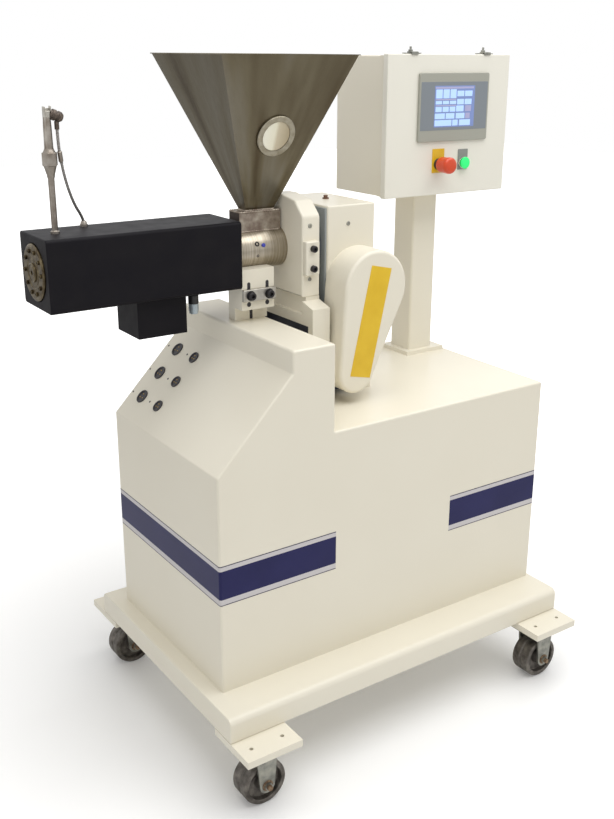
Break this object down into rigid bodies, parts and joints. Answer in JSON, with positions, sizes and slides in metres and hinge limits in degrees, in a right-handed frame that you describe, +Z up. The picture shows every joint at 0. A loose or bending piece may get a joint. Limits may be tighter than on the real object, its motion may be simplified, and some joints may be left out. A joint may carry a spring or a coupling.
{
  "type": "plastic extruder",
  "caption": "Small laboratory single-screw plastic extruder: square black barrel cover, stainless hopper, gearbox and control box on a white castered cabinet.",
  "frame": {"origin": "on the floor, under the middle of the machine's outer box", "axes": "+Z up; -X towards the nozzle, along the barrel; -Y towards the long painted front and the operator panel"},
  "size_m": [1.263, 0.776, 1.515],
  "materials": {
    "white_paint": "gloss",
    "black_paint": "satin",
    "warm_steel": "machined",
    "hopper_steel": "brushed",
    "bright_steel": "machined",
    "probe_steel": "satin",
    "braid": "braided",
    "black_oxide": "oiled",
    "zinc": "zinc plated",
    "wheel_iron": "rough cast",
    "glass": "clear",
    "screen": "lit display",
    "bezel_grey": "fine texture",
    "socket_black": "matt",
    "label_yellow": "film",
    "label_grey": "film",
    "button_red": "gloss",
    "button_green": "lit",
    "button_black": "satin",
    "chrome_ring": "polished"
  },
  "bodies": {
    "machine": {"base_pan": "white_paint", "caster_pads": "white_paint", "caster_plates": "zinc", "caster_forks": "zinc", "cabinet": "white_paint", "heater_sockets": "socket_black", "sensor_sockets": "socket_black", "barrel_cover": "black_paint", "barrel": "bright_steel", "die_flange": "warm_steel", "flange_bolts": "black_oxide", "blower_box": "black_paint", "melt_probe": "probe_steel", "probe_head": "probe_steel", "probe_cable": "braid", "cable_gland": "probe_steel", "feed_throat": "bright_steel", "hopper_neck": "bright_steel", "throat_block": "white_paint", "throat_foot": "white_paint", "clamp_bar": "bright_steel", "clamp_bolts": "black_oxide", "hopper_front": "hopper_steel", "hopper_back": "hopper_steel", "hopper_left": "hopper_steel", "hopper_right": "hopper_steel", "glass_ring": "hopper_steel", "sight_glass": "glass", "thrust_housing": "white_paint", "housing_bolts": "black_oxide", "gearbox_bridge": "white_paint", "reducer": "white_paint", "reducer_stand": "white_paint", "belt_guard": "white_paint", "guard_plate": "label_yellow", "drive_motor": "white_paint", "post_plate": "white_paint", "post": "white_paint", "control_box": "white_paint", "door_hinge": "white_paint"},
    "wheel_front_left": {"caster_wheel_front_left": "wheel_iron"},
    "wheel_front_right": {"caster_wheel_front_right": "wheel_iron"},
    "wheel_rear_left": {"caster_wheel_rear_left": "wheel_iron"},
    "wheel_rear_right": {"caster_wheel_rear_right": "wheel_iron"},
    "door": {"box_door": "white_paint", "door_clamps": "zinc", "screen_bezel": "bezel_grey", "screen_glass": "screen", "stop_plate": "label_yellow", "stop_collar": "button_black", "start_plate": "label_grey", "start_ring": "chrome_ring"},
    "stop_push": {"stop_button": "button_red"},
    "start_push": {"start_button": "button_green"}
  },
  "joints": [
    {"name": "front_left_roll", "type": "hinge", "parent": "machine", "child": "wheel_front_left", "pos_m": [-0.3685, -0.32, 0.0508], "axis": [0, 1, 0], "continuous": true},
    {"name": "front_right_roll", "type": "hinge", "parent": "machine", "child": "wheel_front_right", "pos_m": [0.4575, -0.32, 0.0508], "axis": [0, 1, 0], "continuous": true},
    {"name": "rear_left_roll", "type": "hinge", "parent": "machine", "child": "wheel_rear_left", "pos_m": [-0.3685, 0.32, 0.0508], "axis": [0, 1, 0], "continuous": true},
    {"name": "rear_right_roll", "type": "hinge", "parent": "machine", "child": "wheel_rear_right", "pos_m": [0.4575, 0.32, 0.0508], "axis": [0, 1, 0], "continuous": true},
    {"name": "door_hinge", "type": "hinge", "parent": "machine", "child": "door", "pos_m": [0.2425, 0.0905, 1.3435], "axis": [0, 0, -1], "range_deg": [0, 110]},
    {"name": "stop_push", "type": "slide", "parent": "door", "child": "stop_push", "axis": [0, 1, 0], "range_m": [0, 0.006], "stiffness_N_per_m": 1500},
    {"name": "start_push", "type": "slide", "parent": "door", "child": "start_push", "axis": [0, 1, 0], "range_m": [0, 0.003], "stiffness_N_per_m": 1000}
  ]
}
